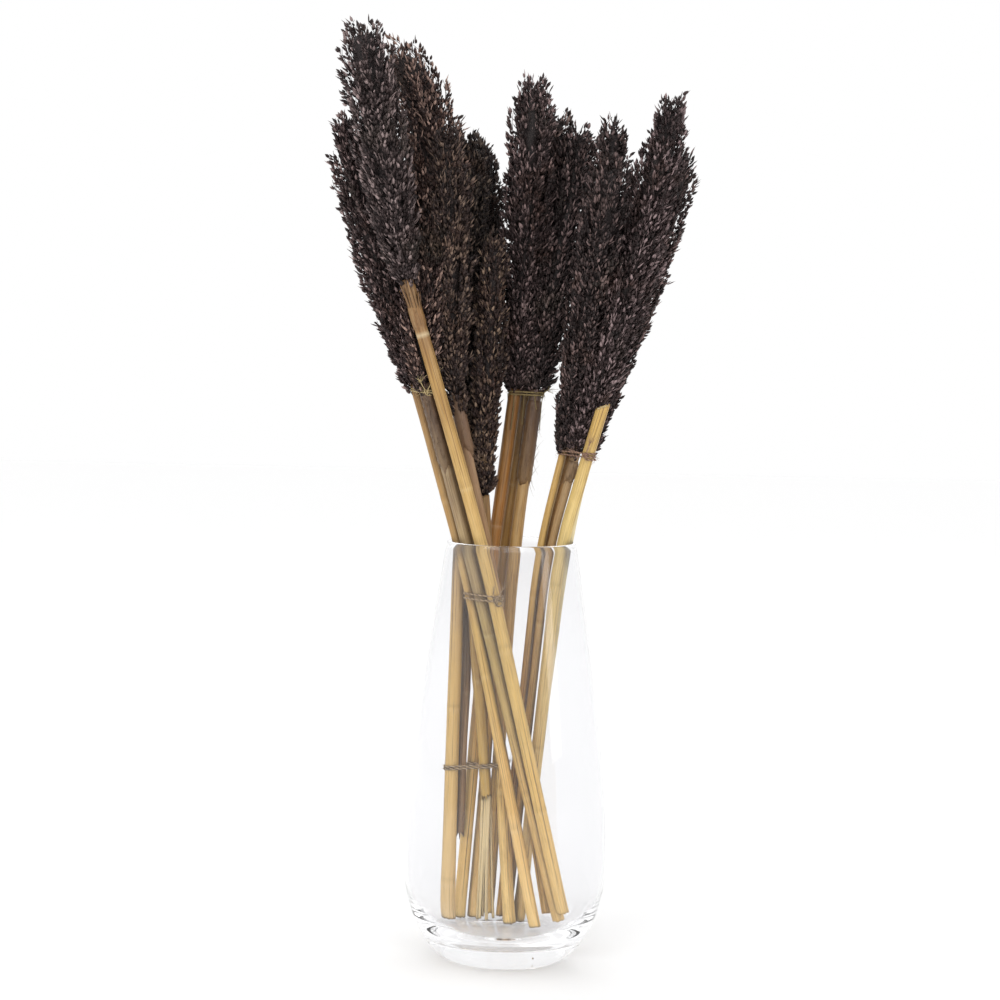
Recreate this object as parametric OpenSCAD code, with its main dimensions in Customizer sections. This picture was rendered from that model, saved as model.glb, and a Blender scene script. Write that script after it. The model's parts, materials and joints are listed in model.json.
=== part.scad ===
// Tall clear glass vase with four tied bunches of dried, dark-dyed sorghum.
// Millimetres, +Z up, +X to the right, -Y towards the front.
// Origin: centre of the vase's foot, on the table.
// Every cane runs straight from its foot to a swollen node and straight on to its tip,
// and each bunch lifts out of the vase in one piece.

/* [Vase] */
// Height from the table to the rim
vase_h = 300; // [290:1:310]
// Outer radius at the rim
rim_r = 46; // [46:0.5:50]
// Outer radius at the belly
belly_r = 74; // [72:0.5:80]
// Height of the widest point of the belly
belly_z = 80; // [70:1:95]
// Radius of the flat foot
foot_r = 43; // [40:0.5:46]
// Wall thickness at the rim
rim_wall = 2; // [1.5:0.1:2]
// Wall thickness at the belly
belly_wall = 2.8; // [2:0.1:3.5]
// Thickness of the solid glass floor
floor_t = 17; // [12:0.5:17]
// Radius of the flat part of the inside floor
floor_r = 44; // [40:1:50]

/* [Canes] */
// How far a cane's node stands proud
node_rise = 0.4; // [0.2:0.1:0.6]
// Length of a cane's node
node_l = 5; // [4:0.5:7]

/* [Seed heads] */
// Scale of every seed head's radius
head_scale = 1; // [0.9:0.01:1.02]
// Share of a head's radius at its cut ends
head_end = 0.14; // [0.1:0.01:0.3]
// How blunt a head is: smaller is blunter
head_blunt = 0.6; // [0.5:0.05:0.8]

/* [Ties] */
// Thickness of the twine round the canes
twine_t = 1.2; // [0.8:0.1:1.4]
// Height of a tie's band of turns
tie_h = 2.6; // [2:0.1:4]
// Gap between the twine and the canes it holds
tie_gap = 0.2; // [0.1:0.05:0.3]

/* [Hidden] */
// Routes are [foot, node, tip, radius], heads are [base, top, radius]
LEFT_CANES = [
  [[23, -16, 20], [-33.2, -6.8, 285], [-71, -8, 412], 4.2],
  [[40, -13, 26], [-27.3, -15.8, 285], [-63.5, -22, 412], 4.7],
  [[42, -22.5, 36], [-16.8, -23.5, 285], [-77, -34, 484], 4.6],
  [[31, -3, 31], [-14, -9, 285], [-42, -12, 404], 3.6]
];
LEFT_HEADS = [
  [[-71, -8, 412], [-127, -6, 600], 18],
  [[-63.5, -22, 412], [-74, 22, 654], 21],
  [[-77, -34, 484], [-112, -40, 661], 19],
  [[-42, -12, 404], [-52, -16, 590], 15.5]
];
BACK_CANES = [
  [[-41, 6, 20], [-37.8, 6, 296], [-35, 14, 372], 4.9],
  [[-33.5, 12.6, 86], [-30, 16.6, 290], [-26, 23, 370], 3.8],
  [[-14, 6, 114], [-26, 4.5, 242], [-29.5, 1, 330], 4.3],
  [[4.5, 3.5, 18], [-14, 10, 250], [-20.5, 8.5, 332], 4.3]
];
BACK_HEADS = [
  [[-35, 14, 372], [-38, 32, 594], 16],
  [[-26, 23, 370], [-25, 66, 588], 14.5],
  [[-20.5, 8.5, 332], [-16, -6, 518], 11.5]
];
MIDDLE_CANES = [
  [[-33, 21, 18], [-14, 24, 290], [0.6, 26, 408], 4.4],
  [[-23, 25, 18], [-6, 32, 290], [8.7, 34, 408], 3.9],
  [[-12, 31, 22], [2, 23, 290], [15.5, 24, 408], 4.5]
];
MIDDLE_HEADS = [
  [[0.6, 26, 408], [9, 28, 633], 16.5],
  [[8.7, 34, 408], [25, 60, 614], 16],
  [[15.5, 24, 408], [46, 50, 600], 15]
];
RIGHT_CANES = [
  [[-3, 27, 20], [18.8, 10, 290], [36, 2, 366], 2.9],
  [[0, 35, 20], [22.5, 17, 290], [41, 10, 366], 2.8],
  [[2, 19.5, 18], [26.5, 7.5, 290], [45, -5, 366], 3.1],
  [[10, 24, 22], [37.4, 2, 290], [53, -1.5, 366], 3.8],
  [[11, 13, 18], [33.2, -7.2, 290], [62, -24, 398], 4.5]
];
RIGHT_HEADS = [
  [[36, 2, 366], [66, -34, 575], 15],
  [[41, 10, 366], [69, 20, 604], 15],
  [[45, -5, 366], [106, -14, 618], 18],
  [[53, -1.5, 366], [121, 20, 582], 14]
];
left_upper_z = 406;
left_lower_z = 260;
back_upper_z = 354;
back_lower_z = 136;
middle_tie_z = 404.5;
right_tie_z = 363;

STEPS = 20;
GLASS = "lightcyan";
STRAW = "burlywood";
SEED = "#3a302f";
TWINE = "#8a7356";

function unit(v) = v / norm(v);

// Points along a cubic Bezier curve with corners a, b, c and d
function curve(a, b, c, d) = [
  for (i = [0 : STEPS])
    let (t = i / STEPS, s = 1 - t)
      s * s * s * a + 3 * s * s * t * b + 3 * s * t * t * c + t * t * t * d
];

// Half outline of a wall: rim down to the belly, belly in to a flat at the bottom
function outline(top_r, mid_r, low_r, low_z, heel) = concat(
  curve([top_r, vase_h], [top_r + 0.35 * (mid_r - top_r), 0.71 * vase_h + 0.29 * belly_z],
        [mid_r, 0.29 * vase_h + 0.71 * belly_z], [mid_r, belly_z]),
  curve([mid_r, belly_z], [mid_r, 0.55 * belly_z], [low_r + heel, low_z + 0.12 * belly_z], [low_r, low_z])
);

// Height-wise position of a cane's centre
function cane_at(cane, z) =
  let (from = z < cane[1].z ? cane[0] : cane[1], to = z < cane[1].z ? cane[1] : cane[2])
    from + (to - from) * (z - from.z) / (to.z - from.z);

// A head's radius along its length, t from 0 at the base to 1 at the top
function head_r(t) = max(head_end, pow(sin(180 * pow(t, 1.05)), head_blunt));

// Stands what follows at a point, with its Z along a direction
module aim(at, way) {
  translate(at) rotate([0, acos(way.z / norm(way)), atan2(way.y, way.x)]) children();
}

module cane(c) {
  color(STRAW) {
    aim(c[0], c[1] - c[0]) cylinder(h = norm(c[1] - c[0]), r = c[3], $fn = 32);
    aim(c[1], c[2] - c[1]) cylinder(h = norm(c[2] - c[1]), r = c[3], $fn = 32);
    aim(c[1], unit(c[1] - c[0]) + unit(c[2] - c[1]))
      cylinder(h = node_l, r = c[3] + node_rise, center = true, $fn = 32);
  }
}

module head(h) {
  len = norm(h[1] - h[0]);
  side = [for (i = [0 : STEPS]) [head_scale * h[2] * head_r(i / STEPS), len * i / STEPS]];
  color(SEED) aim(h[0], h[1] - h[0])
    rotate_extrude($fn = 48) polygon(concat([[0, 0]], side, [[0, len]]));
}

// Cross-section of the canes in a tie, grown by a margin
module grip(canes, z, margin) {
  hull() for (c = canes) translate([cane_at(c, z).x, cane_at(c, z).y]) circle(r = c[3] + margin, $fn = 32);
}

module tie(canes, z) {
  color(TWINE) translate([0, 0, z - tie_h / 2]) linear_extrude(tie_h) difference() {
    grip(canes, z, tie_gap + twine_t);
    grip(canes, z, tie_gap);
  }
}

module vase() {
  color(GLASS, 0.4) rotate_extrude($fn = 128) difference() {
    polygon(concat(outline(rim_r, belly_r, foot_r, 0, 19), [[0, 0], [0, vase_h]]));
    polygon(concat(outline(rim_r - rim_wall, belly_r - belly_wall, floor_r, floor_t, 20),
                   [[0, floor_t], [0, vase_h + 1], [rim_r - rim_wall, vase_h + 1]]));
  }
}

module left_upper_tie() { tie([LEFT_CANES[0], LEFT_CANES[1]], left_upper_z); }
module left_lower_tie() { tie(LEFT_CANES, left_lower_z); }
module back_upper_tie() { tie([BACK_CANES[0], BACK_CANES[1], BACK_CANES[3]], back_upper_z); }
module back_lower_tie() { tie(BACK_CANES, back_lower_z); }
module middle_tie() { tie(MIDDLE_CANES, middle_tie_z); }
module right_tie() { tie(RIGHT_CANES, right_tie_z); }

vase();
for (i = [0 : len(LEFT_CANES) - 1])
  cane(LEFT_CANES[i]);
for (i = [0 : len(LEFT_HEADS) - 1])
  head(LEFT_HEADS[i]);
for (i = [0 : len(BACK_CANES) - 1])
  cane(BACK_CANES[i]);
for (i = [0 : len(BACK_HEADS) - 1])
  head(BACK_HEADS[i]);
for (i = [0 : len(MIDDLE_CANES) - 1])
  cane(MIDDLE_CANES[i]);
for (i = [0 : len(MIDDLE_HEADS) - 1])
  head(MIDDLE_HEADS[i]);
for (i = [0 : len(RIGHT_CANES) - 1])
  cane(RIGHT_CANES[i]);
for (i = [0 : len(RIGHT_HEADS) - 1])
  head(RIGHT_HEADS[i]);
left_upper_tie();
left_lower_tie();
back_upper_tie();
back_lower_tie();
middle_tie();
right_tie();
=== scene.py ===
import json
import math

import bpy
import numpy as np
from mathutils import Matrix, Vector


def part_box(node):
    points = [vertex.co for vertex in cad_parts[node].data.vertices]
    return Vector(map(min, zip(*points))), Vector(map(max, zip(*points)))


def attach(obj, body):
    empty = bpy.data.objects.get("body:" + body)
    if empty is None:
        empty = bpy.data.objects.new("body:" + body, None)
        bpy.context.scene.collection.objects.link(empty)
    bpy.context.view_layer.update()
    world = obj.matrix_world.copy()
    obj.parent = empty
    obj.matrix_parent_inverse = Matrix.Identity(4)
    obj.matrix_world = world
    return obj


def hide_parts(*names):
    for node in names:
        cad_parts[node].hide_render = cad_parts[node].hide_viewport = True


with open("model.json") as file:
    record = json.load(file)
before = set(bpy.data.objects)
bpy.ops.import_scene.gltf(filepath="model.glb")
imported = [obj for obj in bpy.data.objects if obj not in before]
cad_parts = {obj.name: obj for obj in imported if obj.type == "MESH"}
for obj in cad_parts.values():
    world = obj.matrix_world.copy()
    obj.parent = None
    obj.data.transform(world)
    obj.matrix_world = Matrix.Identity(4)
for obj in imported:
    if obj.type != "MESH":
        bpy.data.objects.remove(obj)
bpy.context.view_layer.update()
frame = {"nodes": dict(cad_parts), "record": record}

# Metres, in the CAD model's frame: +Z up, +X right, -Y towards the front.
MM = 0.001
BODY_OF = {n: b for b, nodes in frame["record"]["behaviour"]["bodies"].items() for n in nodes}
FULL_TURN = 2 * math.pi


# ---------------------------------------------------------------- vectors and paths

def unit(v):
    v = np.asarray(v, float)
    return v / np.linalg.norm(v, axis=-1, keepdims=True)


def lerp(a, b, t):
    t = np.asarray(t, float)[..., None]
    return np.asarray(a) * (1 - t) + np.asarray(b) * t


def arc_lengths(path):
    return np.concatenate([[0], np.cumsum(np.linalg.norm(np.diff(path, axis=0), axis=1))])


def interpolate(x, known, rows):
    """The value at x of rows that are given at known."""
    return np.stack([np.interp(x, known, column) for column in rows.T], axis=-1)


def resample(path, step):
    """The same path with points an even step apart."""
    s = arc_lengths(path)
    even = np.linspace(0, s[-1], max(2, int(round(s[-1] / step)) + 1))
    return interpolate(even, s, path)


def path_frames(path):
    """Tangent, and two directions across it, at each point of a path."""
    along = unit(np.gradient(path, axis=0))
    ref = np.eye(3)[np.abs(along).max(axis=0).argmin()]
    side = unit(ref - (along @ ref)[:, None] * along)
    return along, side, np.cross(along, side)


def bezier(a, b, c, d, steps):
    t = np.linspace(0, 1, steps + 1)[:, None]
    a, b, c, d = (np.asarray(v, float) for v in (a, b, c, d))
    return (1 - t) ** 3 * a + 3 * (1 - t) ** 2 * t * b + 3 * (1 - t) * t * t * c + t ** 3 * d


def smooth_noise(rng, n, cells):
    """n values between about -1 and 1 that change smoothly, with that many humps."""
    knots = rng.uniform(-1, 1, cells + 3)
    x = np.linspace(0, cells, n)
    i = x.astype(int)
    t = (x - i) ** 2 * (3 - 2 * (x - i))
    return knots[i] * (1 - t) + knots[i + 1] * t


# ---------------------------------------------------------------- meshes

class Shape:
    """Gathers the surfaces of one piece, with a tone and a grain position for each vertex."""

    def __init__(self):
        self.verts, self.faces, self.tones, self.grains = [], [], [], []
        self.count = 0

    def add(self, verts, faces, tone=0.5, grain=None):
        verts = np.asarray(verts, float).reshape(-1, 3)
        self.verts.append(verts)
        self.faces += [np.asarray(f, int) + self.count for f in faces]
        self.tones.append(np.broadcast_to(np.asarray(tone, float), len(verts)))
        self.grains.append(verts if grain is None else np.asarray(grain).reshape(-1, 3))
        self.count += len(verts)

    def make(self, name, material):
        mesh = bpy.data.meshes.new(name)
        verts = np.concatenate(self.verts)
        loops = np.concatenate([f.ravel() for f in self.faces])
        sizes = np.concatenate([np.full(len(f), f.shape[1]) for f in self.faces])
        mesh.vertices.add(len(verts))
        mesh.vertices.foreach_set("co", verts.astype(np.float32).ravel())
        mesh.loops.add(len(loops))
        mesh.loops.foreach_set("vertex_index", loops.astype(np.int32))
        mesh.polygons.add(len(sizes))
        starts = np.concatenate([[0], np.cumsum(sizes)[:-1]])
        mesh.polygons.foreach_set("loop_start", starts.astype(np.int32))
        mesh.update(calc_edges=True)
        mesh.validate()
        mesh.polygons.foreach_set("use_smooth", np.ones(len(mesh.polygons), bool))
        tone = mesh.attributes.new("tone", "FLOAT", "POINT")
        tone.data.foreach_set("value", np.concatenate(self.tones).astype(np.float32))
        grain = mesh.attributes.new("grain", "FLOAT_VECTOR", "POINT")
        grain.data.foreach_set("vector", np.concatenate(self.grains).astype(np.float32).ravel())
        mesh.materials.append(material)
        piece = bpy.data.objects.new(name, mesh)
        bpy.context.scene.collection.objects.link(piece)
        return piece


def ring_faces(rings, sides):
    """Quads between rings of vertices, wound so that they face outwards."""
    i, j = np.meshgrid(np.arange(rings - 1), np.arange(sides), indexing="ij")
    k, m = i + 1, (j + 1) % sides
    quads = [i * sides + j, i * sides + m, k * sides + m, k * sides + j]
    return np.stack(quads, axis=-1).reshape(-1, 4)


def fan_faces(centre, first, sides, flip):
    """Triangles from a centre vertex to a ring of vertices."""
    j = np.arange(sides)
    a, b = first + j, first + (j + 1) % sides
    return np.stack([np.full(sides, centre), b, a] if flip else [np.full(sides, centre), a, b], axis=-1)


def add_tube(shape, path, radii, sides=6, tone=0.5, shift=None, frames=None, caps=True):
    """A tube along a path. radii is one value, one per ring or one per ring and side;
    shift moves each vertex along the path, for a slanted or ragged end."""
    path = np.asarray(path, float)
    along, side, up = frames or path_frames(path)
    n = len(path)
    angle = np.arange(sides) * FULL_TURN / sides
    radii = np.asarray(radii, float)
    radii = np.broadcast_to(radii.reshape(-1, 1) if radii.ndim < 2 else radii, (n, sides))
    cos, sin = np.cos(angle), np.sin(angle)
    across = cos[None, :, None] * side[:, None] + sin[None, :, None] * up[:, None]
    verts = path[:, None] + radii[..., None] * across
    if shift is not None:
        verts = verts + np.asarray(shift)[..., None] * along[:, None]
    length = arc_lengths(path)[:, None]
    grain = np.stack([cos * radii, sin * radii, length + 0 * radii], axis=-1)
    if np.ndim(tone) == 1:
        tone = np.asarray(tone, float).reshape(-1, 1)
    tone = np.broadcast_to(tone, (n, sides))
    faces = [ring_faces(n, sides)]
    verts, grain, tone = verts.reshape(-1, 3), grain.reshape(-1, 3), tone.ravel()
    if caps:
        for ring, flip in ((0, True), (n - 1, False)):
            rim = verts[ring * sides:(ring + 1) * sides]
            verts = np.concatenate([verts, rim.mean(axis=0)[None]])
            grain = np.concatenate([grain, [[0, 0, length[ring, 0]]]])
            tone = np.concatenate([tone, [tone[ring * sides]]])
            faces.append(fan_faces(len(verts) - 1, ring * sides, sides, flip))
    shape.add(verts, faces, tone, grain)


def finish_piece(piece, node):
    """Fixes a piece to its body and lets it stand for its CAD node."""
    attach(piece, BODY_OF[node])
    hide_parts(node)


# ---------------------------------------------------------------- materials

def srgb(code):
    """A colour as the shader wants it, from a hex code."""
    channel = [int(code[i:i + 2], 16) / 255 for i in (1, 3, 5)]
    return [c / 12.92 if c <= 0.04045 else ((c + 0.055) / 1.055) ** 2.4 for c in channel] + [1]


class Nodes:
    """A material's node tree, with short calls for what the materials here use."""

    def __init__(self, name):
        self.material = bpy.data.materials.new(name)
        self.material.use_nodes = True
        self.tree = self.material.node_tree
        self.shader = self.tree.nodes["Principled BSDF"]

    def new(self, kind, **settings):
        node = self.tree.nodes.new("ShaderNode" + kind)
        for key, value in settings.items():
            setattr(node, key, value)
        return node

    def link(self, source, target):
        self.tree.links.new(source, target)

    def put(self, value, socket):
        if isinstance(value, bpy.types.NodeSocket):
            self.link(value, socket)
        else:
            socket.default_value = value

    def attribute(self, name, output="Fac"):
        return self.new("Attribute", attribute_name=name).outputs[output]

    def scaled(self, vector, scale):
        node = self.new("VectorMath", operation="MULTIPLY")
        self.link(vector, node.inputs[0])
        node.inputs[1].default_value = scale
        return node.outputs["Vector"]

    def noise(self, vector, scale, detail=3, rough=0.6):
        node = self.new("TexNoise")
        self.link(vector, node.inputs["Vector"])
        node.inputs["Scale"].default_value = scale
        node.inputs["Detail"].default_value = detail
        node.inputs["Roughness"].default_value = rough
        return node.outputs["Fac"]

    def math(self, operation, a, b=0.5):
        node = self.new("Math", operation=operation)
        self.put(a, node.inputs[0])
        self.put(b, node.inputs[1])
        return node.outputs[0]

    def remap(self, value, low, high, to_low=0.0, to_high=1.0):
        node = self.new("MapRange")
        self.link(value, node.inputs["Value"])
        names = ("From Min", "From Max", "To Min", "To Max")
        for name, number in zip(names, (low, high, to_low, to_high)):
            node.inputs[name].default_value = number
        return node.outputs["Result"]

    def ramp(self, value, stops):
        node = self.new("ValToRGB")
        elements = node.color_ramp.elements
        for i, (position, colour) in enumerate(stops):
            element = elements[i] if i < 2 else elements.new(position)
            element.position = position
            element.color = srgb(colour)
        self.link(value, node.inputs["Fac"])
        return node.outputs["Color"]

    def mix(self, factor, a, b, blend="MIX"):
        """Colour a, with colour b over it by factor."""
        node = self.new("Mix", data_type="RGBA", blend_type=blend)
        for value, socket in zip((factor, a, b), (0, 6, 7)):
            self.put(value, node.inputs[socket])
        return node.outputs[2]

    def bump(self, height, strength, distance):
        node = self.new("Bump")
        node.inputs["Strength"].default_value = strength
        node.inputs["Distance"].default_value = distance
        self.link(height, node.inputs["Height"])
        self.link(node.outputs["Normal"], self.shader.inputs["Normal"])

    def painted_gap_shade(self, reach, strength):
        """Painted shade: how far to darken a point that sits between surfaces, read from ambient occlusion, from
        0 in the open to strength in a narrow gap.
        """
        node = self.new("AmbientOcclusion", samples=6)
        node.inputs["Distance"].default_value = reach
        return self.remap(node.outputs["AO"], 0.25, 0.85, strength, 0)

    def place(self):
        return self.new("TexCoord").outputs["Object"]


def glass_material():
    """Clear glass that lets the lamps through to what stands in it."""
    m = Nodes("clear_glass")
    for name, value in (("Transmission Weight", 1.0), ("IOR", 1.46), ("Base Color", srgb("#f8f8f9"))):
        m.shader.inputs[name].default_value = value
    specks = m.noise(m.place(), 260, 2)
    m.link(m.remap(specks, 0.35, 0.75, 0.0, 0.004), m.shader.inputs["Roughness"])
    mix = m.new("MixShader")
    m.link(m.new("LightPath").outputs["Is Shadow Ray"], mix.inputs[0])
    m.link(m.shader.outputs["BSDF"], mix.inputs[1])
    clear = m.new("BsdfTransparent")
    clear.inputs["Color"].default_value = srgb("#fdfdfd")
    m.link(clear.outputs["BSDF"], mix.inputs[2])
    m.link(mix.outputs[0], m.tree.nodes["Material Output"].inputs["Surface"])
    return m.material


def straw_material(name, colours, low, high, streaks, spots):
    """Dried cane: colours run from foot to tip, with fibres along the cane, spots, dark nodes and painted shade
    in narrow gaps between canes.
    """
    m = Nodes(name)
    height = m.new("SeparateXYZ")
    m.link(m.place(), height.inputs[0])
    drift = m.noise(m.place(), 30, 2)
    level = m.remap(height.outputs["Z"], low, high)
    level = m.math("ADD", level, m.remap(drift, 0.3, 0.7, -0.05, 0.05))
    stops = [(i / (len(colours) - 1), c) for i, c in enumerate(colours)]
    base = m.ramp(level, stops)
    grain = m.attribute("grain", "Vector")
    fibres = m.noise(m.scaled(grain, (1, 1, 0.018)), 2600, 4, 0.7)
    bands = m.noise(m.scaled(grain, (1, 1, 0.05)), 620, 2)
    dark = m.math("MULTIPLY", m.remap(fibres, 0.46, 0.7), streaks)
    colour = m.mix(dark, base, srgb("#5d4022"), "MULTIPLY")
    pale = m.mix(0.35, base, srgb("#f1dfb0"))
    colour = m.mix(m.remap(bands, 0.4, 0.75, 0, 0.4), colour, pale)
    lines = m.noise(m.scaled(grain, (1, 1, 0.006)), 950, 1)
    colour = m.mix(m.remap(lines, 0.6, 0.66, 0, 0.8), colour, srgb("#74532b"))
    blotch = m.noise(m.scaled(grain, (1, 1, 0.35)), 700, 3, 0.7)
    colour = m.mix(m.remap(blotch, 0.66, 0.74, 0, spots), colour, srgb("#4c3626"))
    tone = m.attribute("tone")
    colour = m.mix(m.remap(tone, 0.5, 0, 0, 0.75), colour, srgb("#543a25"))
    colour = m.mix(m.remap(tone, 0.5, 1, 0, 0.85), colour, srgb("#eadbb4"))
    # Painted shade: where canes stand close together, the colour is darkened towards a deep brown
    colour = m.mix(m.painted_gap_shade(9 * MM, 0.85), colour, srgb("#3a240f"))
    m.link(colour, m.shader.inputs["Base Color"])
    m.link(m.remap(fibres, 0.3, 0.7, 0.4, 0.62), m.shader.inputs["Roughness"])
    m.bump(fibres, 0.5, 0.0004)
    return m.material


def seed_material(name, dark, mid, light, rust):
    """Dyed seeds: each has its own tone, and rusty or greenish patches drift across the head."""
    m = Nodes(name)
    tone = m.attribute("tone")
    colour = m.ramp(tone, [(0, dark), (0.95, light), (0.55, mid)])
    patch = m.remap(m.noise(m.place(), 38, 3), 0.52, 0.72, 0, rust)
    colour = m.mix(patch, colour, m.mix(tone, srgb("#1f120c"), srgb("#6e4a35")))
    green = m.remap(m.noise(m.place(), 23, 2), 0.6, 0.78, 0, 0.35)
    colour = m.mix(green, colour, m.mix(tone, srgb("#14150c"), srgb("#4d4c38")))
    husk = m.noise(m.place(), 1500, 2)
    dusty = m.mix(0.6, colour, srgb("#8e7c7a"))
    colour = m.mix(m.remap(husk, 0.45, 0.75, 0, 0.45), colour, dusty)
    m.link(colour, m.shader.inputs["Base Color"])
    m.link(m.remap(husk, 0.3, 0.7, 0.42, 0.7), m.shader.inputs["Roughness"])
    m.shader.inputs["Specular IOR Level"].default_value = 0.2
    m.bump(husk, 0.35, 0.0003)
    return m.material


def twine_material(name, dark, light):
    """Matt plant fibre, from dark between the plies to light on them."""
    m = Nodes(name)
    fibres = m.noise(m.scaled(m.attribute("grain", "Vector"), (1, 1, 0.25)), 3800, 3, 0.7)
    lift = m.remap(m.attribute("tone"), 0, 1, -0.2, 0.4)
    level = m.math("ADD", m.remap(fibres, 0.25, 0.75, 0, 0.7), lift)
    m.link(m.ramp(level, [(0, dark), (1, light)]), m.shader.inputs["Base Color"])
    m.shader.inputs["Roughness"].default_value = 0.85
    m.bump(fibres, 0.6, 0.0003)
    return m.material


# ---------------------------------------------------------------- what the CAD nodes say

def node_points(node):
    """The different vertices of a CAD node."""
    mesh = frame["nodes"][node].data
    co = np.zeros(len(mesh.vertices) * 3, np.float32)
    mesh.vertices.foreach_get("co", co)
    return np.unique(co.reshape(-1, 3).astype(float).round(6), axis=0)


def node_ends(node, reach):
    """Centres of a long node's two end rings, the first ring's radius and the points in between."""
    co = node_points(node)
    t = co @ unit(co[co[:, 2].argmax()] - co[co[:, 2].argmin()])
    first, last = t < t.min() + reach, t > t.max() - reach
    foot, tip = co[first].mean(axis=0), co[last].mean(axis=0)
    radius = np.linalg.norm(co[first] - foot, axis=1).max()
    return foot, tip, radius, co[~first & ~last]


# How far to each side of its node a cane bends
SOFT_BEND = 35 * MM


class Cane:
    """A cane's route and radius, read from its CAD node."""

    def __init__(self, node):
        self.node = node
        self.foot, self.tip, self.radius, middle = node_ends(node, 4 * MM)
        knee = middle.mean(axis=0)
        before, self.end_way = unit(knee - self.foot), unit(self.tip - knee)
        a, b = knee - SOFT_BEND * before, knee + SOFT_BEND * self.end_way
        t = np.linspace(0, 1, 24)[:, None]
        curve = (1 - t) ** 2 * a + 2 * (1 - t) * t * knee + t * t * b
        self.path = resample(np.concatenate([[self.foot], curve, [self.tip]]), 2.5 * MM)

    def at(self, z):
        """The cane's centre at a height."""
        return interpolate(z, self.path[:, 2], self.path)


# ---------------------------------------------------------------- the vase

VASE_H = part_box("vase")[1].z
BELLY_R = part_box("vase")[1].x
BELLY_Z = 80 * MM
RIM_R = 46 * MM
RIM_WALL = 2 * MM
BELLY_WALL = 2.8 * MM
FOOT_R = 43 * MM
FLOOR_T = 17 * MM
FLOOR_R = 44 * MM
# The shallow hollow under the foot: its height and radius
HOLLOW_FOOT = 1.6 * MM
HOLLOW_R = FOOT_R - 5 * MM


def wall_line(top_r, mid_r, low_r, low_z, heel):
    """Half outline of a wall, from the rim down to the flat at the bottom, as in the CAD model."""
    shoulder = (top_r + 0.35 * (mid_r - top_r), 0.71 * VASE_H + 0.29 * BELLY_Z)
    flank = (mid_r, 0.29 * VASE_H + 0.71 * BELLY_Z)
    top = bezier((top_r, VASE_H), shoulder, flank, (mid_r, BELLY_Z), 40)
    turn = (low_r + heel, low_z + 0.12 * BELLY_Z)
    low = bezier((mid_r, BELLY_Z), (mid_r, 0.55 * BELLY_Z), turn, (low_r, low_z), 32)
    return np.concatenate([top, low[1:]])


def build_vase(material, sides=192):
    """The vase: one outline from the middle of the floor over the rim to the middle of the foot, turned."""
    outer = wall_line(RIM_R, BELLY_R, FOOT_R, 0, 19 * MM)
    inner = wall_line(RIM_R - RIM_WALL, BELLY_R - BELLY_WALL, FLOOR_R, FLOOR_T, 20 * MM)
    middle, bead_r, bead_z = RIM_R - RIM_WALL / 2, RIM_WALL / 2, VASE_H - MM
    lip = np.linspace(0, math.pi, 13)[1:-1]
    bead = np.stack([middle + bead_r * np.cos(lip), bead_z + bead_r * np.sin(lip)], axis=1)
    outer, inner = outer[outer[:, 1] < bead_z], inner[inner[:, 1] < bead_z]
    inwards = np.linspace(1, 0, 9)[1:-1, None]
    foot = np.concatenate([inwards * HOLLOW_R, HOLLOW_FOOT * (1 - inwards ** 2)], axis=1)
    floor = np.concatenate([inwards * FLOOR_R, FLOOR_T + 0 * inwards], axis=1)
    profile = np.concatenate([floor[::-1], inner[::-1], bead[::-1], outer, foot])
    angle = np.arange(sides) * FULL_TURN / sides
    r, z = profile[:, :1], profile[:, 1:]
    rings = np.stack([r * np.cos(angle), r * np.sin(angle), z + 0 * angle], axis=-1).reshape(-1, 3)
    last = (len(profile) - 1) * sides
    verts = np.concatenate([rings, [[0, 0, FLOOR_T], [0, 0, HOLLOW_FOOT]]])
    faces = [ring_faces(len(profile), sides)[:, ::-1],
             fan_faces(len(rings), 0, sides, False),
             fan_faces(len(rings) + 1, last, sides, True)]
    shape = Shape()
    shape.add(verts, faces)
    finish_piece(shape.make("vase_glass", material), "vase")


# ---------------------------------------------------------------- canes

CANE_SIDES = 30
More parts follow.
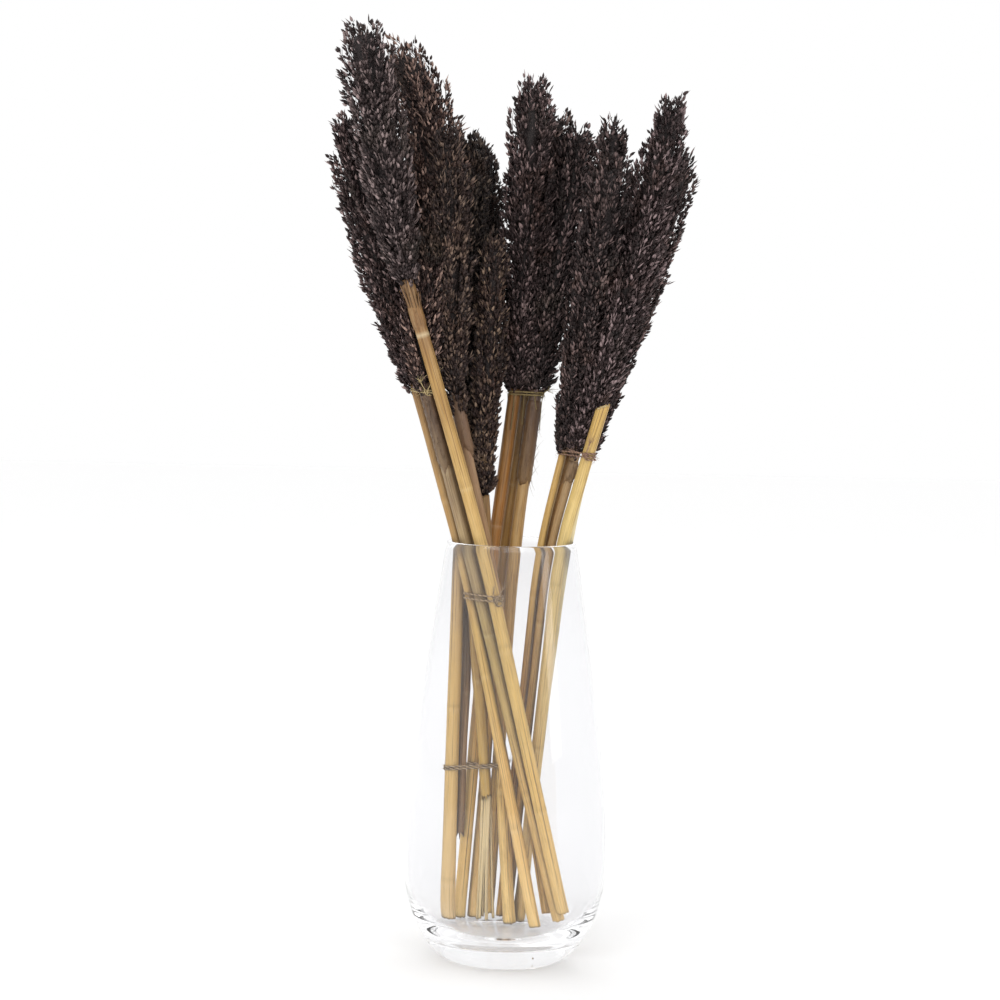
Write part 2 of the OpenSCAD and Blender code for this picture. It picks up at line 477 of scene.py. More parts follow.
# Colours from foot to tip; how deep the grooves are; how strong streaks and spots are; heights
# of the nodes in mm
CANES = {
    "left_cane_1": (["#f4ce86", "#e5b86a", "#d4ac59", "#ac854d", "#906a37"], 0.012, 0.5, 0.3, (95, 205, 330)),
    "left_cane_2": (["#edc680", "#d9b065", "#b79a57", "#967d5a", "#524036"], 0.02, 0.7, 0.6, (120, 235, 352)),
    "left_cane_3": (["#edc67d", "#e3ba6a", "#d5b061", "#c8a361", "#b08949", "#845b32"], 0.035, 0.6, 0.25,
                    (110, 225, 340, 447)),
    "left_cane_4": (["#e7bd73", "#d3a85d", "#9c7348", "#886a54"], 0.025, 0.8, 0.5, (140, 250)),
    "back_cane_1": (["#e0c08b", "#d9b471", "#d3ac64", "#c19e6a", "#a57e50"], 0.006, 0.25, 0.25, (52, 178, 292)),
    "back_cane_2": (["#876544", "#a37e55", "#8b7054", "#795b3f"], 0.03, 0.9, 0.8, (190,)),
    "back_cane_3": (["#c49e4d", "#b38e45", "#9c7940", "#88673b"], 0.015, 0.5, 0.3, (200,)),
    "back_cane_4": (["#f4d086", "#deb666", "#b38d50", "#886234"], 0.08, 0.9, 0.3, (120, 240)),
    "middle_cane_1": (["#ffdb90", "#eec370", "#c68c3a", "#a66e2c", "#845620"], 0.012, 0.35, 0.3, (80, 190, 310)),
    "middle_cane_2": (["#fdd790", "#e5bb6a", "#dca444", "#cc9640", "#9a763e"], 0.03, 0.6, 0.5, (110, 220, 340)),
    "middle_cane_3": (["#f2cb7f", "#dcb262", "#c89e58", "#c49c60", "#463438"], 0.03, 0.8, 0.4, (100, 215)),
    "right_cane_1": (["#e7bc70", "#e0ad62", "#c59555", "#d7b067", "#c19955"], 0.02, 0.5, 0.3, (150, 260)),
    "right_cane_2": (["#dbaf69", "#ca9758", "#cd9c61", "#c5975c"], 0.02, 0.6, 0.4, (130, 250)),
    "right_cane_3": (["#dcb26e", "#d0a257", "#c79e5b", "#b8935f", "#9c8060"], 0.02, 0.6, 0.4, (110, 240)),
    "right_cane_4": (["#d6b477", "#cfad6d", "#d1b680", "#decd9d", "#e2d3a9"], 0.04, 0.6, 0.2, (125, 235)),
    "right_cane_5": (["#d6b473", "#d9b877", "#dabc7d", "#d6ba76", "#c39e54"], 0.045, 0.7, 0.15, (150, 268)),
}

# How much thicker some canes grow towards the foot
FLARES = {"back_cane_4": 0.15, "back_cane_1": 0.12, "middle_cane_1": 0.05, "middle_cane_2": 0.07,
          "left_cane_1": 0.05}
# The cane with a pale ring, and the ring's height in mm
RINGED, RING_Z = "left_cane_3", 447
# The cane that is thicker above a height in mm, and how much
STOUT, STOUT_Z, STOUTER = "middle_cane_1", 300, 0.09
# The stub that is cut at a slant, the canes whose feet are broken off and the one that splintered
SLANTED, BROKEN, SPLINTERED = "right_cane_5", ("back_cane_2", "back_cane_3"), "back_cane_3"
# The cut ends turn in to a sunken pith: share of the radius, depth in mm and tone of each ring
PITH = [(0.93, 0.05, 0.35), (0.8, 0.5, 0.9), (0.35, 0.9, 0.8)]


def bump_at(z, height, width):
    """A smooth bump of 1 where z is at a height, both in metres, and 0 a few widths away."""
    return np.exp(-((z - height) / width) ** 2)


def groove_pattern(rng, sides, depth):
    """One factor per side for a ribbed cane, the same all along it."""
    angle = np.arange(sides) * FULL_TURN / sides
    ribs = sum(rng.uniform(0.4, 1) * np.cos(k * angle + rng.uniform(0, 6)) for k in (3, 7, 11, 13))
    return 1 - depth * (0.5 + 0.5 * ribs / 2)


def add_cane_body(shape, cane, rng, groove, nodes):
    """The cane itself: it sways a little, swells at its nodes and ends in a cut or broken pith."""
    path = cane.path.copy()
    n = len(path)
    along, side, up = path_frames(path)
    length = arc_lengths(path)
    ease = 40 * MM
    sway = 0.5 * MM * np.clip(length / ease, 0, 1) * np.clip((length[-1] - length) / ease, 0, 1)
    path += (sway * smooth_noise(rng, n, 5))[:, None] * side
    path += (sway * smooth_noise(rng, n, 4))[:, None] * up
    z = path[:, 2]
    swell = 1 + 0.025 * smooth_noise(rng, n, 9)
    swell += FLARES.get(cane.node, 0) * bump_at(length, 0, 75 * MM)
    tone = np.full(n, 0.5)
    for height in nodes:
        swell += 0.03 * bump_at(z, height * MM, 2.4 * MM)
        tone -= 0.12 * bump_at(z, (height + 2) * MM, 1.6 * MM)
        tone += 0.08 * bump_at(z, (height - 1) * MM, 1.6 * MM)
    if cane.node == STOUT:
        swell += STOUTER * np.clip((z - STOUT_Z * MM) / (60 * MM), 0, 1)
    if cane.node == RINGED:
        tone += 0.35 * bump_at(z, RING_Z * MM, 1.2 * MM)
        tone -= 0.2 * np.clip((z - (RING_Z + 2) * MM) / (4 * MM), 0, 1)
    angle = np.arange(CANE_SIDES) * FULL_TURN / CANE_SIDES
    radii = cane.radius * 0.985 * swell[:, None] * groove_pattern(rng, CANE_SIDES, groove)[None]
    waves = np.sin(length[:, None] / (11 * MM) + rng.uniform(0, 6, CANE_SIDES)[None])
    radii *= 1 + 0.4 * groove * waves
    shift = np.zeros((n, CANE_SIDES))
    slant = 3.2 * MM if cane.node == SLANTED else 0
    ragged = 2.2 * MM if cane.node in BROKEN else 0
    shift[-1] += slant * (np.cos(angle) * side[-1, 0] + np.sin(angle) * up[-1, 0])
    shift[-1] += 0.3 * MM * rng.standard_normal(CANE_SIDES)
    shift[0] += (0.35 * MM + ragged) * rng.standard_normal(CANE_SIDES)

    def pith(end, way):
        """Path, radii, shift and tone of the rings inside one end, from the rim inwards."""
        return [(path[end] + way * deep * MM * along[end], radii[end] * share, shift[end] * share, shade)
                for share, deep, shade in PITH]

    first, last = pith(0, 1)[::-1], pith(-1, -1)
    rows = [np.concatenate([[r[i] for r in first], part, [r[i] for r in last]])
            for i, part in enumerate((path, radii, shift, tone))]
    k = len(PITH)
    frames = tuple(np.concatenate([[a[0]] * k, a, [a[-1]] * k]) for a in (along, side, up))
    add_tube(shape, rows[0], rows[1], CANE_SIDES, rows[3], rows[2], frames)


def add_sheath(shape, cane, rng, low, high, rise, tone, tatter):
    """A dry leaf sheath round a cane between two heights in mm, ragged at its lower edge."""
    part = cane.path[(cane.path[:, 2] > low * MM) & (cane.path[:, 2] < high * MM)]
    path = resample(part, 1.5 * MM)
    n = len(path)
    i = np.arange(n)
    grow = np.clip(np.minimum(i, n - 1 - i) / 2, 0, 1)
    folds = groove_pattern(rng, CANE_SIDES, 0.09)
    radii = cane.radius * (0.96 + (0.06 + rise * folds[None]) * grow[:, None])
    radii *= 1 + 0.03 * rng.standard_normal((n, CANE_SIDES)) * grow[:, None]
    ragged = tatter * MM * np.abs(smooth_noise(rng, CANE_SIDES, 7)) * 2
    fade = np.exp(-i / 5)[:, None]
    add_tube(shape, path, radii, CANE_SIDES, tone, -fade * ragged[None])


def add_blade(shape, start, way, out, length, width, curl, tone):
    """A pointed dry leaf tip: a thin blade, folded along its middle."""
    n = 12
    t = np.linspace(0, 1, n)
    way, out = unit(way), unit(out)
    path = start + np.outer(t * length, way) + np.outer(curl * t ** 2, out)
    across = unit(np.cross(way, out))
    half = (width / 2 * np.sqrt(1 - t) * (0.65 + 0.35 * t))[:, None]
    thickness = 0.36 * MM
    rows = [path - half * across, path + 0.25 * half * out, path + half * across,
            path + (0.25 * half - thickness) * out]
    verts = np.stack(rows, axis=1).reshape(-1, 3)
    faces = [ring_faces(n, 4), np.array([[0, 3, 2, 1]])]
    shape.add(verts, faces, tone)


def add_fibres(shape, cane, rng, low, high, count, length, tone):
    """Loose fibres that peel off a cane."""
    for _ in range(count):
        start = cane.at(rng.uniform(low, high) * MM)
        angle = rng.uniform(0, 2 * math.pi)
        out = np.array([math.cos(angle), math.sin(angle), 0])
        way = unit(cane.end_way * rng.choice([1, -1]) + 0.25 * out)
        t = np.linspace(0, 1, 6)[:, None]
        size = length * MM * rng.uniform(0.4, 1)
        path = start + out * cane.radius + way * size * t + out * 0.25 * size * t ** 2
        add_tube(shape, path, 0.16 * MM * (1.1 - t[:, 0]), 4, tone)


# Dark, fibrous sheath near a cane's tip: from and to height in mm, how far it stands off, tone,
# loose fibres
SHEATHS = {
    "left_cane_2": (356, 409, 0.12, 0.18, 90),
    "left_cane_4": (366, 403, 0.35, 0.12, 70),
    "middle_cane_3": (342, 401, 0.2, 0.06, 90),
    "right_cane_3": (344, 361, 0.22, 0.2, 40),
}
# A splinter's height order, and its upper and lower end along X in mm, from the broken foot
SPLINTERS = ((0, -3.0, -2.4), (1, -1.4, -0.1), (2, 0.2, 2.2), (3, 1.8, 4.6), (4, 3.0, 9.0))


def add_torn_collar(shape, cane, rng):
    """Above the pale ring, the leaf sheath is torn into pointed blades."""
    add_sheath(shape, cane, rng, RING_Z + 2, RING_Z + 21, 0.08, 0.35, 0.5)
    for k in range(7):
        angle = k * 0.95
        out = np.array([math.cos(angle), math.sin(angle), 0])
        start = cane.at((RING_Z + 14) * MM) + out * cane.radius
        add_blade(shape, start, cane.end_way + 0.03 * out, out, (16 + 4 * (k % 3)) * MM, 4.6 * MM,
                  (2 + k % 2) * MM, 0.2 + 0.1 * (k % 2))


def add_splinters(shape, cane, rng):
    """The broken end hangs down in a fan of splinters."""
    for k, top, foot in SPLINTERS:
        start = cane.foot + np.array([top, 0.8 * math.sin(2 * k), 8 - 3 * (k % 2)]) * MM
        end = np.array([cane.foot[0] + (foot - 3) * MM, start[1] + 1.5 * MM * math.cos(3 * k),
                        FLOOR_T + (3 + 2 * (k % 3)) * MM])
        t = np.linspace(0, 1, 40)
        path = lerp(start, end, t) + np.outer(np.sin(t * 3 + k) * 0.6 * MM, [1, 0.4, 0])
        wide = (1.35 + 0.25 * (k % 2)) * MM * (1 - 0.2 * t) * groove_pattern(rng, 40, 0.12)
        add_tube(shape, path, wide, 8, 0.8)


def build_cane(node):
    """One cane with its own sheath, fibres or splinters."""
    colours, groove, streaks, spots, nodes = CANES[node]
    cane = canes[node]
    rng = np.random.default_rng(sum(map(ord, node)))
    shape = Shape()
    add_cane_body(shape, cane, rng, groove, nodes)
    if node == RINGED:
        add_torn_collar(shape, cane, rng)
    if node in SHEATHS:
        low, high, rise, tone, fibres = SHEATHS[node]
        add_sheath(shape, cane, rng, low, high, rise, tone, 5)
        add_fibres(shape, cane, rng, low, high - 4, fibres, 14, tone)
    if node == SPLINTERED:
        add_splinters(shape, cane, rng)
    name = node + "_stalk"
    material = straw_material(name, colours, cane.foot[2], cane.tip[2], streaks, spots)
    finish_piece(shape.make(name, material), node)


# ---------------------------------------------------------------- seed heads

# The cane below; how much fuller than its CAD spindle; how slowly it swells from its base and how
# blunt its top is; dark, middle and light colours; rust
HEADS = {
    "left_head_1": ("left_cane_1", 1.02, 0.55, 6, "#0a0606", "#2c1e1e", "#98827f", 0.35),
    "left_head_2": ("left_cane_2", 1.10, 0.55, 9, "#0a0605", "#33221e", "#a88b7e", 0.35),
    "left_head_3": ("left_cane_3", 1.03, 0.50, 9, "#0a0708", "#2c2222", "#988684", 0.15),
    "left_head_4": ("left_cane_4", 1.06, 0.45, 6, "#090605", "#2a1d19", "#7e6a5c", 0.25),
    "back_head_1": ("back_cane_1", 1.06, 0.60, 7, "#050403", "#17110e", "#685a4e", 0.3),
    "back_head_2": ("back_cane_2", 1.08, 0.60, 9, "#070505", "#231a18", "#7e6c62", 0.3),
    "back_head_3": ("back_cane_4", 1.00, 0.75, 7, "#0a0605", "#30211c", "#88725f", 0.3),
    "middle_head_1": ("middle_cane_1", 1.03, 0.35, 9, "#090606", "#2a1e1e", "#907a78", 0.3),
    "middle_head_2": ("middle_cane_2", 1.10, 0.40, 9, "#090606", "#2b1f1e", "#927c76", 0.35),
    "middle_head_3": ("middle_cane_3", 1.18, 0.36, 7, "#080505", "#221a1a", "#806c6a", 0.25),
    "right_head_1": ("right_cane_1", 1.04, 0.50, 8, "#070404", "#1a1313", "#7a6663", 0.25),
    "right_head_2": ("right_cane_2", 1.10, 0.50, 7, "#080505", "#241b1a", "#84706e", 0.25),
    "right_head_3": ("right_cane_3", 1.05, 0.55, 5, "#090606", "#2d2121", "#948080", 0.25),
    "right_head_4": ("right_cane_4", 1.04, 0.60, 6, "#090606", "#271d1c", "#8a7472", 0.3),
}
# How far below its base, in mm, a head's lowest seeds hang; PLAIN_SKIRT for the others
SKIRTS = {"left_head_1": 15, "left_head_2": 17, "left_head_4": 24, "right_head_3": 14, "back_head_3": 3}
PLAIN_SKIRT = 10
# How far a head bows along X above its middle and how far its top leans, in mm
BOWS = {"left_head_2": (11, -24), "right_head_3": (4, 3)}
# For the head on a cane: another cane that passes close by when its bunch is drawn out, and how
# far that cane moves, in mm
PASSING = {"left_cane_4": ("back_cane_1", (6, -3, 300)), "back_cane_2": ("middle_cane_1", (18, 3, 300))}

# A seed's mean length; the share of seeds that are thin bristles, how thin and how long they are
SEED_L = 4.5 * MM
BRISTLES, BRISTLE_SLIM, BRISTLE_L = 0.2, 0.3, 1.45
# Step between seeds on a branch, for a head up to a surface and a length; larger heads use wider steps
SEED_STEP = 0.86 * MM
STEP_AREA, STEP_LENGTH = 21000 * MM * MM, 240 * MM
# A head's surface for one branch, and the angle from one branch to the next
BRANCH_AREA = 110 * MM * MM
BRANCH_TURN = 2.399963
# Sides of the dark core that stands in for the shade inside a head
SHADE_CORE_SIDES = 14
# Free space that seeds keep round a cane at rest and round one that passes
CLEAR, CLEAR_PASSING = 2.4 * MM, 2.6 * MM


def seed_template(sides=4):
    """A pointed seed along +Z, one unit long and less than half as wide."""
    rings = [(0.2, 0.2), (0.21, 0.58)]
    angle = np.arange(sides) * FULL_TURN / sides
    around = [[r * math.cos(a), r * math.sin(a), z] for r, z in rings for a in angle]
    verts = [[0, 0, 0]] + around + [[0, 0, 1]]
    foot, tip = fan_faces(0, 1, sides, True), fan_faces(2 * sides + 1, sides + 1, sides, False)
    return np.array(verts, float), ring_faces(2, sides) + 1, np.concatenate([foot, tip])


SEED_VERTS, SEED_QUADS, SEED_FANS = seed_template()


def add_seeds(shape, rng, places, ways, sizes, slim, tones):
    """One seed at each place, pointing along its way; slim narrows it to a bristle."""
    ways = unit(ways)
    side = unit(np.cross(ways, rng.standard_normal(ways.shape)))
    up = np.cross(ways, side)
    wide = (slim * sizes * rng.uniform(0.85, 1.15, len(sizes)))[:, None]
    axes = (wide * side, wide * up, sizes[:, None] * ways)
    verts = places[:, None] + sum(SEED_VERTS[None, :, i:i + 1] * axes[i][:, None] for i in range(3))
    first = np.arange(len(places))[:, None, None] * len(SEED_VERTS)
    faces = [(SEED_QUADS[None] + first).reshape(-1, 4), (SEED_FANS[None] + first).reshape(-1, 3)]
    shape.add(verts, faces, np.repeat(tones, len(SEED_VERTS)))


class Head:
    """A seed head's bowed middle line and outline, from its CAD spindle and the cane below."""

    def __init__(self, node):
        self.cane_node, self.full, self.taper, self.blunt = HEADS[node][:4]
        base, top, _, middle = node_ends(node, 2 * MM)
        cane = canes[self.cane_node]
        axis = top - base
        self.length = np.linalg.norm(axis)
        off = middle - base
        off -= np.outer(off @ axis / self.length ** 2, axis)
        self.radius = np.linalg.norm(off, axis=1).max()
        start, end = 0.45 * self.length * cane.end_way, 0.9 * axis
        t = np.linspace(0, 1, 80)[:, None]
        self.line = ((2 * t ** 3 - 3 * t ** 2 + 1) * base + (t ** 3 - 2 * t ** 2 + t) * start
                     + (3 * t ** 2 - 2 * t ** 3) * top + (t ** 3 - t ** 2) * end)
        bow, lean = BOWS.get(node, (0, 0))
        self.line += (bow * 6.75 * t ** 2 * (1 - t) + lean * t ** 6) * MM * np.array([1, 0, 0])
        self.frames = path_frames(self.line)
        self.below, self.least = cane.end_way, cane.radius + 1.2 * MM

    def outline(self, s):
        """The head's radius along it, s from 0 at the base to 1 at the top."""
        s = np.clip(s, 1e-6, 1)
        swell = np.minimum(1, s / 0.5) ** self.taper * np.sqrt(1 - s ** self.blunt)
        return np.maximum(self.least * (s < 0.5), self.radius * self.full * np.maximum(0.2, swell))

    def point(self, s, angle, share):
        """A point of the head at share of its outline, and the way out from the middle line there."""
        grid = np.linspace(0, 1, len(self.line))
        middle, side, up = (interpolate(s, grid, rows) for rows in (self.line, *self.frames[1:]))
        out = np.cos(angle)[:, None] * side + np.sin(angle)[:, None] * up
        beyond = np.clip(s - 1, 0, None)[:, None] * self.length * self.frames[0][-1]
        beyond = beyond + np.clip(s, None, 0)[:, None] * self.length * self.below
        return middle + beyond + (share * self.outline(s))[:, None] * out, out


def clear_of_canes(places, own):
    """True for each place that is not in or against another cane, at rest or passing on its way out."""
    clear = np.ones(len(places), bool)
    others = [(cane.path, cane.radius + CLEAR) for node, cane in canes.items() if node != own]
    if own in PASSING:
        node, move = PASSING[own]
        others.append((canes[node].path + np.array(move) * MM, canes[node].radius + CLEAR_PASSING))
    margin = 8 * MM
    for path, reach in others:
        low, high = path.min(axis=0) - margin, path.max(axis=0) + margin
        near = np.flatnonzero(clear & ((places > low) & (places < high)).all(axis=1))
        if len(near):
            gap = np.linalg.norm(places[near][:, None] - path[None], axis=2).min(axis=1)
            clear[near[gap < reach]] = False
    return clear


def add_branch(shape, head, rng, start, reach, angle, share, gap, spread, tone):
    """One branch: a thin stem that leaves the middle line and carries seeds along its outer part.
    start and reach are shares of the head's length, share is of its radius."""
    n = max(8, int(reach * head.length / (5 * MM)))
    u = np.linspace(0, 1, n)
    angles = angle + rng.uniform(-0.35, 0.35) * u
    shares = share * np.minimum(1, 0.12 + 0.95 * u ** 0.65)
    path, outs = head.point(start + reach * u, angles, shares)
    if clear_of_canes(path, head.cane_node).all():
        add_tube(shape, path, 0.35 * MM * (1.2 - 0.7 * u), 3, 0.35, caps=False)
    count = int(reach * head.length * 0.85 / gap)
    at = rng.uniform(0.12, 1, count) ** 0.85
    centre, out = interpolate(at, u, path), interpolate(at, u, outs)
    along = unit(path[-1] - path[0])[None] * np.ones((count, 1))
    aside = np.cross(along, out)
    lean = rng.normal(0, 0.8, count)[:, None]
    away = unit(out * rng.uniform(0.2, 1.0, count)[:, None] + aside * lean)
    places = centre + away * spread * rng.uniform(0.2, 1, count)[:, None]
    ways = along + away * rng.uniform(0.15, 0.75, count)[:, None]
    ways += 0.15 * rng.standard_normal((count, 3))
    bristle = rng.uniform(0, 1, count) < BRISTLES
    slim = np.where(bristle, BRISTLE_SLIM, 1)
    sizes = SEED_L * rng.uniform(0.7, 1.15, count) * np.where(bristle, BRISTLE_L, 1)
    tones = np.clip(tone + rng.normal(0, 0.24, count) + 0.2 * bristle, 0.02, 1)
    keep = clear_of_canes(places + 0.5 * sizes[:, None] * unit(ways), head.cane_node)
    add_seeds(shape, rng, places[keep], ways[keep], sizes[keep], slim[keep], tones[keep])


def build_head(node):
    """One seed head: a dark core, painted shade that fills the head's middle and keeps the backdrop from showing
    through, branches over it, hanging seeds at its base and stray tips.
    """
    head = Head(node)
    dark, mid, light, rust = HEADS[node][4:]
    rng = np.random.default_rng(7 + sum(map(ord, node)))
    shape = Shape()
    # Painted shade: a dark, lumpy spindle at half the outline, at tone 0, fills the head's middle
    s = np.linspace(0.0, 0.94, 60)
    shade_core, _ = head.point(s, 0 * s, 0 * s)
    lumps = 0.5 + 0.05 * rng.standard_normal((60, SHADE_CORE_SIDES))
    add_tube(shape, shade_core, head.outline(s)[:, None] * lumps, SHADE_CORE_SIDES, 0.0)
    area = FULL_TURN * head.radius * head.full * head.length * 0.8
    branches = int(area / BRANCH_AREA)
    gap = SEED_STEP * max(1, area / STEP_AREA) * max(1, head.length / STEP_LENGTH)
    for k in range(branches):
        end = 0.07 + 0.92 * ((k + rng.uniform(0, 1)) / branches) ** 0.95
        reach = min(end - 0.005, rng.uniform(0.18, 0.28))
        share = rng.uniform(0.62 if end < 0.85 else 0.1, 0.98)
        # Painted shade and light: seeds on branches that sit deeper in the head are darker, and those near its
        # outside are lighter; the spread around that is the seeds' own tone
        add_branch(shape, head, rng, end - reach, reach, k * BRANCH_TURN, share, gap, 2.5 * MM,
                   rng.normal(0.3 + 0.17 * share, 0.1))
    # The lowest seeds hang down over the tie
    for k in range(16):
        low = -SKIRTS.get(node, PLAIN_SKIRT) * MM / head.length * rng.uniform(0.3, 1)
        add_branch(shape, head, rng, low, 0.1, k * 2.4, rng.uniform(1.0, 1.35), 1.2 * MM, 2 * MM,
                   rng.normal(0.4, 0.1))
    # The stray tips stand out past the outline and are toned a little lighter, painted light like the outer
    # seeds
    for _ in range(branches // 5):
        end = 0.15 + 0.86 * rng.uniform(0, 1) ** 0.6
        add_branch(shape, head, rng, end - 0.13, 0.13, rng.uniform(0, FULL_TURN),
                   rng.uniform(1.0, 1.14), 1.7 * MM, 1.7 * MM, rng.normal(0.5, 0.1))
    name = node + "_seeds"
    material = seed_material(name, dark, mid, light, rust)
    finish_piece(shape.make(name, material), node)


# ---------------------------------------------------------------- ties

TWINE_STEP = 0.45 * MM


def convex_outline(points):
    """The corners of the smallest convex outline round flat points, anticlockwise."""
    points = points[np.lexsort((points[:, 1], points[:, 0]))]

    def half(pts):
        chain = []
        for p in pts:
            while len(chain) > 1 and np.cross(chain[-1] - chain[-2], p - chain[-2]) <= 0:
                chain.pop()
            chain.append(p)
        return chain[:-1]

    return np.array(half(points) + half(points[::-1]))


def wrap_path(held, z, margin, turns, pitch, slant, start_angle, rng):
    """A path that winds round the canes at a height, from start_angle; slant tips it along X."""
    angle = np.arange(48) * FULL_TURN / 48
    ring = np.stack([np.cos(angle), np.sin(angle)], axis=1)
    points = np.concatenate([cane.at(z)[:2] + (cane.radius + margin) * ring for cane in held])
    hull = convex_outline(points)
    middle = hull.mean(axis=0)
    closed = np.concatenate([hull, hull[:1]])
    length = arc_lengths(closed)
    count = int(turns * length[-1] / TWINE_STEP)
    first = np.argmin((hull - middle) @ [-math.cos(start_angle), -math.sin(start_angle)])
    along = (length[first] + np.linspace(0, turns, count) * length[-1]) % length[-1]
    xy = interpolate(along, length, closed)
    turn = np.linspace(-0.5, 0.5, count) * turns
    wander = 0.25 * MM * smooth_noise(rng, count, int(6 * turns))
    height = z + pitch * turn + slant * (xy[:, 0] - middle[0]) + wander
    return np.concatenate([xy, height[:, None]], axis=1)


def add_twine(shape, path, thick, lay, tone):
    """Two-ply twine along a path: a dark and a light strand, twisted round each other."""
    path = resample(path, TWINE_STEP)
    frames = along, side, up = path_frames(path)
    phase = arc_lengths(path)[:, None] / lay * FULL_TURN
    for ply, shade in ((0, -0.4), (math.pi, 0.4)):
        offset = 0.27 * thick * (np.cos(phase + ply) * side + np.sin(phase + ply) * up)
        add_tube(shape, path + offset, 0.29 * thick, 6, tone + shade, frames=frames)


def add_hairs(shape, rng, path, count, length, tone):
    """Short stray fibres along a path of twine."""
    for start in path[rng.integers(2, len(path) - 2, count)]:
        way = unit(rng.standard_normal(3))
        bend = rng.standard_normal(3) * 0.5
        t = np.linspace(0, 1, 5)[:, None]
        size = length * rng.uniform(0.3, 1)
        add_tube(shape, start + size * (way * t + bend * t ** 2), 0.07 * MM, 3, tone, caps=False)


def add_tail(shape, rng, start, way, length, thick, lay, frayed):
    """A loose end of twine, with its fibres coming apart at the tip."""
    way = unit(way)
    t = np.linspace(0, 1, 14)[:, None]
    bend = rng.standard_normal(3) * 0.25
    path = start + length * (way * t + bend * t ** 2)
    add_twine(shape, path, thick, lay, 0.5)
    for _ in range(frayed):
        out = unit(path[-1] - path[-2]) + 0.45 * rng.standard_normal(3)
        size = rng.uniform(2, 5) * MM
        t = np.linspace(0, 1, 5)[:, None]
        fibre = path[-1] + size * (out * t + 0.3 * rng.standard_normal(3) * t ** 2)
        add_tube(shape, fibre, 0.09 * MM, 3, 0.6, caps=False)


def add_knot(shape, centre, out, size, thick, lay):
    """A small overhand knot: a trefoil of twine facing outwards."""
    out = unit(out)
    side = unit(np.cross([0, 0, 1], out))
    t = np.linspace(0, FULL_TURN, 60)
    x, z, y = np.sin(t) + 2 * np.sin(2 * t), np.cos(t) - 2 * np.cos(2 * t), -np.sin(3 * t)
    loop = np.outer(x, side) + np.outer(z, [0, 0, 1]) + 0.55 * np.outer(y, out)
    add_twine(shape, centre + size / 3 * loop, thick, lay, 0.45)


def add_raffia(shape, path, wide, thin, tone):
    """A flat strip wound along a path, standing on its edge against the canes."""
    path = resample(path, 0.8 * MM)
    along, side, up = path_frames(path)
    sides, n = 10, len(path)
    angle = np.arange(sides) * FULL_TURN / sides
    flat = np.stack([np.cos(angle) * wide / 2, np.sin(angle) * thin / 2], axis=1)
    upright = np.abs(side[:, 2]).mean() > np.abs(up[:, 2]).mean()
    a, b = (side, up) if upright else (up, -side)
    verts = path[:, None] + flat[None, :, :1] * a[:, None] + flat[None, :, 1:] * b[:, None]
    across = np.broadcast_to(flat[None, :, :1], (n, sides, 1))
    length = np.broadcast_to(arc_lengths(path)[:, None, None], across.shape)
    grain = np.concatenate([across, 0 * across, length], axis=2)
    last = (n - 1) * sides
    ends = [fan_faces(0, 0, sides, True)[1:-1], fan_faces(last, last, sides, False)[1:-1]]
    shape.add(verts, [ring_faces(n, sides)] + ends, tone, grain)


# The bunch and the canes it holds; thickness and rise of a turn in mm; tip along X; where the knot
# is in degrees; length of its loose ends in mm; dark and light colour
TIES = {
    "left_upper_tie": ("left", (1, 2), 0.9, 1.6, -0.1, -90, 8, "#9c8860", "#e0cc98"),
    "left_lower_tie": ("left", (1, 2, 3, 4), 1.2, 3.4, -0.05, -80, 9, "#4a3422", "#d8bc94"),
    "back_upper_tie": ("back", (1, 2, 4), 1.0, 1.2, 0.0, -60, 6, "#4a3828", "#a08058"),
    "back_lower_tie": ("back", (1, 2, 3, 4), 1.3, 1.7, 0.05, -50, 5, "#4e3a28", "#d8c09c"),
    "middle_tie": ("middle", (1, 2, 3), 1.0, 2.0, -0.05, -20, 6, "#54462a", "#b09a68"),
    "right_tie": ("right", (1, 2, 3, 4, 5), 0.95, 2.2, -0.08, -110, 8, "#4a3028", "#c09c84"),
}
# Each tie goes round twice and a little; twine's twist repeats over this many thicknesses
WOUND, LAY = 2 + 0.1, 3.6
RAFFIA_TIE = "middle_tie"
RAFFIA_WIDE, RAFFIA_THIN = 1.0 * MM, 0.5 * MM
STRAY_FIBRES = 130


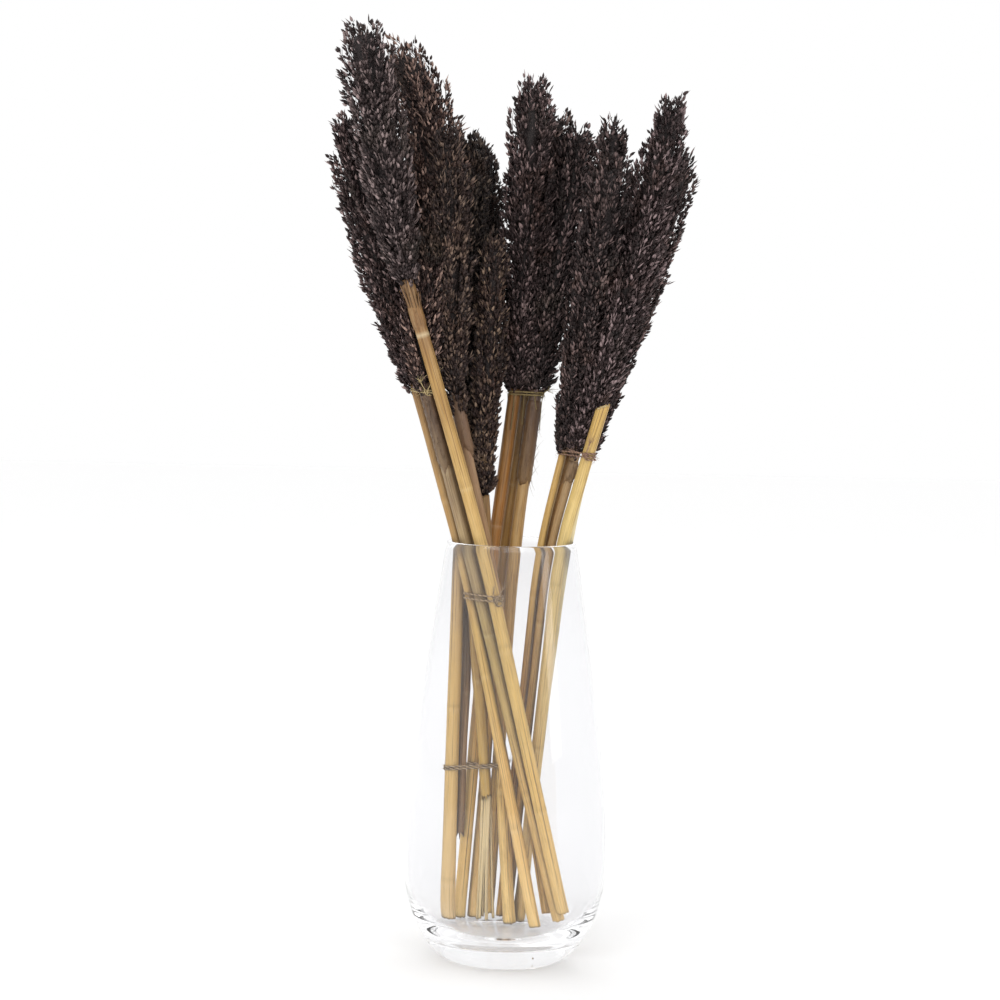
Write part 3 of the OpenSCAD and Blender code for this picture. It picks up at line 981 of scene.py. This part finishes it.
def build_tie(node):
    """One tie: its turns round the canes, a knot with two loose ends, and stray fibres."""
    bunch, held, thick, pitch, slant, knot_at, tail, dark, light = TIES[node]
    held = [canes[f"{bunch}_cane_{i}"] for i in held]
    rng = np.random.default_rng(11 + sum(map(ord, node)))
    low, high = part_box(node)
    z = (low.z + high.z) / 2
    thick, pitch = thick * MM, pitch * MM
    lay = LAY * thick
    knot_angle = math.radians(knot_at)
    path = wrap_path(held, z, 0.2 * MM + 0.5 * thick, WOUND, pitch, slant, knot_angle, rng)
    shape = Shape()
    if node == RAFFIA_TIE:
        add_raffia(shape, path, RAFFIA_WIDE, RAFFIA_THIN, 0.5)
        # Torn strips of raffia hang down in front of the canes
        for k in range(9):
            start = path[int((0.08 + 0.05 * k) * len(path))]
            t = np.linspace(0, 1, 10)[:, None]
            drop = np.array([rng.uniform(-0.1, 0.02), -0.04, -1]) * rng.uniform(8, 34) * MM
            hang = start + t * drop + t ** 2 * rng.uniform(-2, 2, 3) * [1, 0.3, 0] * MM
            add_tube(shape, hang, rng.uniform(0.2, 0.4) * MM, 4, 0.45)
    else:
        add_twine(shape, path, thick, lay, 0.5)
    out = np.array([math.cos(knot_angle), math.sin(knot_angle), 0])
    side = np.cross([0, 0, 1], out)
    knot = path[0] + out * 0.8 * thick
    knot[2] = z
    add_knot(shape, knot, out, 2.0 * thick, thick * 0.8, lay)
    for lift, sway in ((1.0, 0.5), (0.7, -0.6)):
        way = out * 0.5 + side * sway + np.array([0, 0, lift])
        add_tail(shape, rng, knot, way, tail * MM, thick * 0.7, lay, 14)
    add_hairs(shape, rng, path, STRAY_FIBRES, 4.5 * MM, 0.6)
    name = node + "_twine"
    finish_piece(shape.make(name, twine_material(name, dark, light)), node)


# ---------------------------------------------------------------- camera, light and floor

CAMERA_AT = Vector((-8.9, -1850, 458.6)) * MM
LOOKING_DOWN, ROLL = 4, 1.2
# The floor is painted darkest, as shade, up to one distance from the vase and brightest from another on, in
# metres
NEAR, FAR = 0.3, 2.2


def build_camera():
    """A long lens in front of the vase, a little above its rim, tipped down and slightly askew."""
    camera = bpy.data.cameras.new("camera")
    camera.lens, camera.sensor_width = 93.6, 36
    camera.clip_end = 50
    place = bpy.data.objects.new("camera", camera)
    tilt, roll = math.radians(90 - LOOKING_DOWN), math.radians(ROLL)
    place.matrix_world = (Matrix.Translation(CAMERA_AT) @ Matrix.Rotation(tilt, 4, "X")
                          @ Matrix.Rotation(roll, 4, "Z"))
    bpy.context.scene.collection.objects.link(place)
    bpy.context.scene.camera = place


def build_light(name, place, target, size, power):
    """A white softbox that faces its target; size in metres, power in watts."""
    light = bpy.data.lights.new(name, "AREA")
    light.shape = "RECTANGLE"
    light.size, light.size_y = size
    light.energy = power
    lamp = bpy.data.objects.new(name, light)
    lamp.location = place
    lamp.rotation_euler = (Vector(target) - Vector(place)).to_track_quat("-Z", "Y").to_euler()
    bpy.context.scene.collection.objects.link(lamp)


def build_floor():
    """A pale floor just under the foot, with painted shade: slightly darker near the vase, where the lamps light
    it most, so that the glass shows on it.
    """
    shape = Shape()
    half, below = 6.0, 0.15 * MM
    corners = [[x * half, y * half, -below] for x, y in ((-1, -1), (1, -1), (1, 1), (-1, 1))]
    shape.add(corners, [np.array([[0, 1, 2, 3]])])
    m = Nodes("pale_floor")
    away = m.new("VectorMath", operation="LENGTH")
    m.link(m.place(), away.inputs[0])
    faint = m.remap(m.noise(m.place(), 3, 2), 0.3, 0.7, 0.0, 0.05)
    tone = m.math("ADD", m.remap(away.outputs["Value"], NEAR, FAR), faint)
    # Painted shade: the floor is darker near the vase, to even out the lamps' light there
    m.link(m.ramp(tone, [(0.0, "#efefef"), (1.0, "#fefefe")]), m.shader.inputs["Base Color"])
    m.shader.inputs["Roughness"].default_value = 0.7
    m.shader.inputs["Specular IOR Level"].default_value = 0.2
    shape.make("floor", m.material)


def build_world():
    """An even white studio."""
    world = bpy.data.worlds.new("studio")
    world.use_nodes = True
    background = world.node_tree.nodes["Background"]
    background.inputs["Color"].default_value = (1, 1, 1, 1)
    background.inputs["Strength"].default_value = 1.0
    bpy.context.scene.world = world


# The thick glass at the foot turns light round many times before letting it out
cycles = bpy.context.scene.cycles
cycles.max_bounces = cycles.glossy_bounces = cycles.transmission_bounces = 128

build_camera()
build_world()
build_floor()
build_light("key_softbox", (-1.2, -1.6, 1.7), (0, 0, 0.35), (1.2, 1.2), 13)
build_light("front_softbox", (0.15, -2.0, 1.3), (0, 0, 0.2), (1.4, 0.8), 7)
build_light("side_softbox", (1.6, -0.9, 0.9), (0, 0, 0.35), (0.5, 1.4), 4)
build_light("back_softbox", (-0.9, 1.3, 1.5), (0, 0, 0.4), (1.2, 1.2), 7)
bpy.context.scene.view_settings.view_transform = "Standard"

canes = {node: Cane(node) for node in CANES}
build_vase(glass_material())
for node in CANES:
    build_cane(node)
for node in HEADS:
    build_head(node)
for node in TIES:
    build_tie(node)
